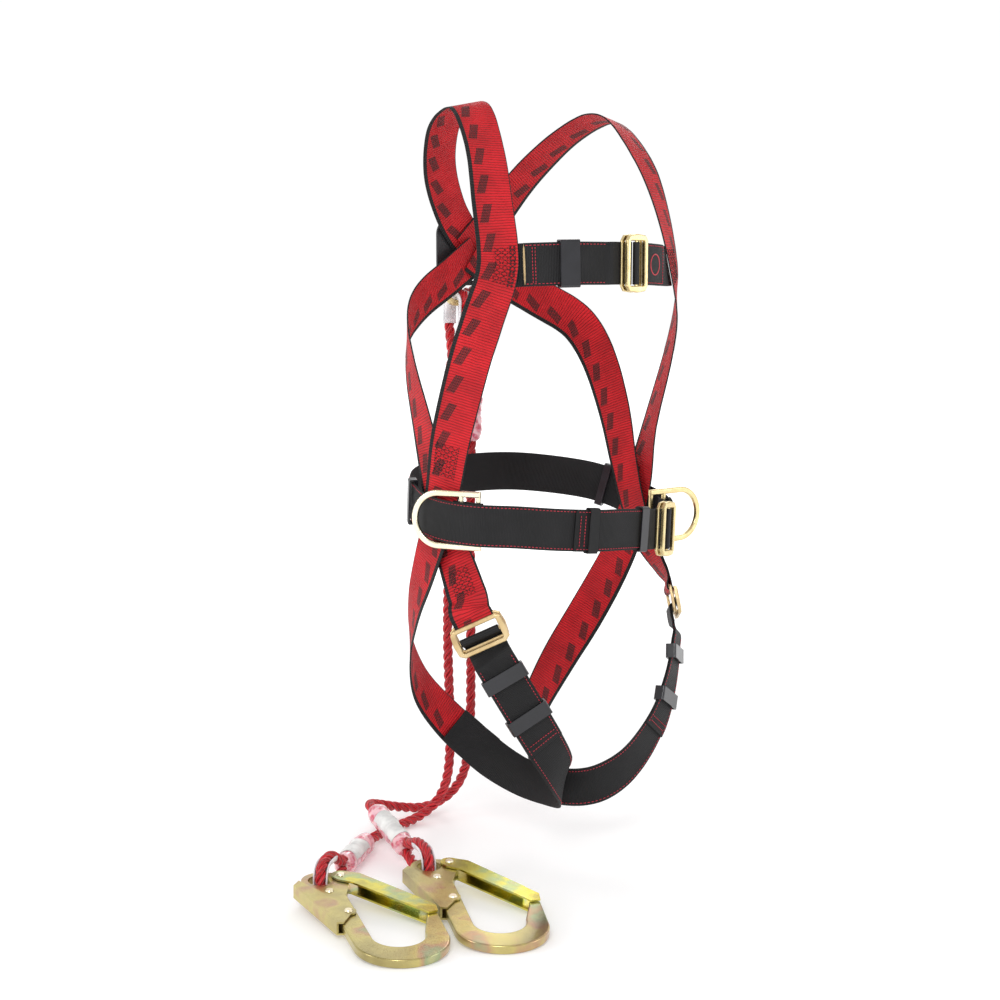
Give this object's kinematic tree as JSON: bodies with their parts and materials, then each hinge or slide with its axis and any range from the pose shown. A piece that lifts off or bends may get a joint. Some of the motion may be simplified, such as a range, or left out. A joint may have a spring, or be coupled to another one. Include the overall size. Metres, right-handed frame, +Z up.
{
  "type": "full-body safety harness",
  "caption": "Full-body safety harness, worn shape: webbing straps, work belt with side rings, back plate and ring, and a two-legged rope lanyard with scaffold hooks.",
  "frame": {"origin": "middle of the work belt at the wearer's waist", "axes": "+Z up along the wearer, -Y the way the wearer faces, -X the wearer's right side"},
  "size_m": [0.5572, 0.4328, 0.8401],
  "materials": {
    "webbing_red": "woven polyester webbing, red with black edges and marks",
    "webbing_black": "woven polyester webbing, black",
    "buckle_zinc": "stamped steel, yellow zinc plated",
    "ring_steel": "forged steel, polished yellow zinc",
    "ring_dark": "forged steel, zinc plated",
    "dorsal_plastic": "moulded black plastic",
    "keeper_elastic": "black elastic",
    "keeper_plastic": "moulded black plastic",
    "rope": "twisted red rope",
    "thimble_plastic": "white moulded plastic",
    "sleeve_plastic": "clear shrink sleeve over the red splice",
    "rivet_steel": "zinc plated steel",
    "hook_zinc": "steel, iridescent yellow zinc plate"
  },
  "bodies": {
    "harness": {"back_strap_left": "webbing_red", "back_strap_right": "webbing_red", "belt_buckle_frame": "buckle_zinc", "belt_webbing": "webbing_black", "chest_buckle_frame": "buckle_zinc", "chest_strap_left": "webbing_black", "chest_strap_right": "webbing_black", "dorsal_a_eye": "rope", "dorsal_a_sleeve": "sleeve_plastic", "dorsal_a_thimble": "thimble_plastic", "dorsal_b_eye": "rope", "dorsal_b_sleeve": "sleeve_plastic", "dorsal_b_thimble": "thimble_plastic", "dorsal_plate": "dorsal_plastic", "hip_ring_loop_left": "webbing_black", "hip_ring_loop_right": "webbing_black", "hook_a_eye": "rope", "hook_a_sleeve": "sleeve_plastic", "hook_a_thimble": "thimble_plastic", "hook_b_eye": "rope", "hook_b_sleeve": "sleeve_plastic", "hook_b_thimble": "thimble_plastic", "leg_left_buckle_frame": "buckle_zinc", "leg_right_buckle_frame": "buckle_zinc", "leg_strap_left": "webbing_black", "leg_strap_right": "webbing_black", "pelvic_strap_left": "webbing_red", "pelvic_strap_right": "webbing_red", "rope_a": "rope", "rope_b": "rope", "shoulder_strap_left": "webbing_red", "shoulder_strap_right": "webbing_red"},
    "dorsal_ring": {"dorsal_ring": "ring_dark"},
    "hip_ring_right": {"hip_ring_right": "ring_steel"},
    "hip_ring_left": {"hip_ring_left": "ring_steel"},
    "chest_plate": {"chest_buckle_plate": "buckle_zinc"},
    "belt_plate": {"belt_buckle_plate": "buckle_zinc"},
    "leg_right_plate": {"leg_right_buckle_plate": "buckle_zinc"},
    "leg_left_plate": {"leg_left_buckle_plate": "buckle_zinc"},
    "chest_keeper": {"chest_keeper": "keeper_plastic"},
    "belt_keeper_elastic": {"belt_keeper_elastic": "keeper_elastic"},
    "belt_keeper_plastic": {"belt_keeper_plastic": "keeper_plastic"},
    "belt_loop_right": {"belt_loop_right": "keeper_plastic"},
    "belt_loop_left": {"belt_loop_left": "keeper_plastic"},
    "leg_keeper_upper_right": {"leg_keeper_upper_right": "keeper_plastic"},
    "leg_keeper_lower_right": {"leg_keeper_lower_right": "keeper_plastic"},
    "leg_keeper_upper_left": {"leg_keeper_upper_left": "keeper_plastic"},
    "leg_keeper_lower_left": {"leg_keeper_lower_left": "keeper_plastic"},
    "hook_a": {"hook_a_body": "hook_zinc", "hook_a_rivets": "rivet_steel"},
    "hook_a_gate": {"hook_a_gate": "hook_zinc"},
    "hook_a_lever": {"hook_a_lever": "hook_zinc"},
    "hook_b": {"hook_b_body": "hook_zinc", "hook_b_rivets": "rivet_steel"},
    "hook_b_gate": {"hook_b_gate": "hook_zinc"},
    "hook_b_lever": {"hook_b_lever": "hook_zinc"}
  },
  "joints": [
    {"name": "dorsal_ring_swing", "type": "hinge", "parent": "harness", "child": "dorsal_ring", "pos_m": [0, 0.1407, 0.3], "axis": [1, 0, 0], "range_deg": [-1.2, 1.2]},
    {"name": "hip_ring_right_swing", "type": "hinge", "parent": "harness", "child": "hip_ring_right", "pos_m": [-0.14455, -0.02919, 0.0135], "axis": [0, 0, 1], "range_deg": [0, 55]},
    {"name": "hip_ring_left_swing", "type": "hinge", "parent": "harness", "child": "hip_ring_left", "pos_m": [0.13993, -0.04873, -0.00475], "axis": [0, 0, -1], "range_deg": [-45, 11]},
    {"name": "chest_plate_tilt", "type": "hinge", "parent": "harness", "child": "chest_plate", "pos_m": [0.02433, -0.11692, 0.28305], "axis": [0.0034, 0.0002, 1], "range_deg": [0, 7]},
    {"name": "belt_plate_tilt", "type": "hinge", "parent": "harness", "child": "belt_plate", "pos_m": [0.09975, -0.09468, -0.01124], "axis": [0.0824, 0.0306, 0.9961], "range_deg": [0, 7]},
    {"name": "leg_right_plate_tilt", "type": "hinge", "parent": "harness", "child": "leg_right_plate", "pos_m": [-0.13537, -0.04851, -0.10871], "axis": [0.5866, -0.6859, 0.4307], "range_deg": [0, 7]},
    {"name": "leg_left_plate_tilt", "type": "hinge", "parent": "harness", "child": "leg_left_plate", "pos_m": [0.15654, -0.05337, -0.10775], "axis": [0.6309, 0.7049, -0.3241], "range_deg": [0, 7]},
    {"name": "chest_keeper_slide", "type": "slide", "parent": "harness", "child": "chest_keeper", "axis": [0.9477, -0.3185, 0.0199], "range_m": [-0.006, 0.006]},
    {"name": "belt_keeper_elastic_slide", "type": "slide", "parent": "harness", "child": "belt_keeper_elastic", "axis": [-0.9902, 0.1141, 0.081], "range_m": [-0.006, 0.006]},
    {"name": "belt_keeper_plastic_slide", "type": "slide", "parent": "harness", "child": "belt_keeper_plastic", "axis": [-0.9814, -0.1613, 0.1039], "range_m": [-0.006, 0.006]},
    {"name": "belt_loop_right_slide", "type": "slide", "parent": "harness", "child": "belt_loop_right", "axis": [0.455, 0.8668, 0.2041], "range_m": [-0.006, 0.006]},
    {"name": "belt_loop_left_slide", "type": "slide", "parent": "harness", "child": "belt_loop_left", "axis": [0.4448, -0.8548, -0.2673], "range_m": [-0.006, 0.006]},
    {"name": "leg_keeper_upper_right_slide", "type": "slide", "parent": "harness", "child": "leg_keeper_upper_right", "axis": [0.3556, -0.3647, -0.8605], "range_m": [-0.003, 0.003]},
    {"name": "leg_keeper_lower_right_slide", "type": "slide", "parent": "harness", "child": "leg_keeper_lower_right", "axis": [0.4456, -0.2662, -0.8547], "range_m": [-0.003, 0.003]},
    {"name": "leg_keeper_upper_left_slide", "type": "slide", "parent": "harness", "child": "leg_keeper_upper_left", "axis": [-0.2561, -0.2529, -0.933], "range_m": [-0.003, 0.003]},
    {"name": "leg_keeper_lower_left_slide", "type": "slide", "parent": "harness", "child": "leg_keeper_lower_left", "axis": [-0.3966, -0.2065, -0.8945], "range_m": [-0.003, 0.003]},
    {"name": "hook_a_swing", "type": "hinge", "parent": "harness", "child": "hook_a", "pos_m": [-0.29606, 0.02154, -0.36395], "axis": [0, 0, 1], "range_deg": [-5, 0]},
    {"name": "hook_a_gate_open", "type": "hinge", "parent": "hook_a", "child": "hook_a_gate", "pos_m": [-0.27351, 0.01609, -0.36371], "axis": [0.0287, 0.0749, -0.9968], "range_deg": [0, 22]},
    {"name": "hook_a_lever_press", "type": "hinge", "parent": "hook_a", "child": "hook_a_lever", "pos_m": [-0.31913, -0.06089, -0.37081], "axis": [0.0287, 0.0749, -0.9968], "range_deg": [0, 5]},
    {"name": "hook_b_swing", "type": "hinge", "parent": "harness", "child": "hook_b", "pos_m": [-0.18128, -0.0176, -0.36395], "axis": [0, 0, 1], "range_deg": [0, 5]},
    {"name": "hook_b_gate_open", "type": "hinge", "parent": "hook_b", "child": "hook_b_gate", "pos_m": [-0.15943, -0.02538, -0.36371], "axis": [0.0364, 0.0715, -0.9968], "range_deg": [0, 22]},
    {"name": "hook_b_lever_press", "type": "hinge", "parent": "hook_b", "child": "hook_b_lever", "pos_m": [-0.21284, -0.09717, -0.37081], "axis": [0.0364, 0.0715, -0.9968], "range_deg": [0, 5]}
  ]
}
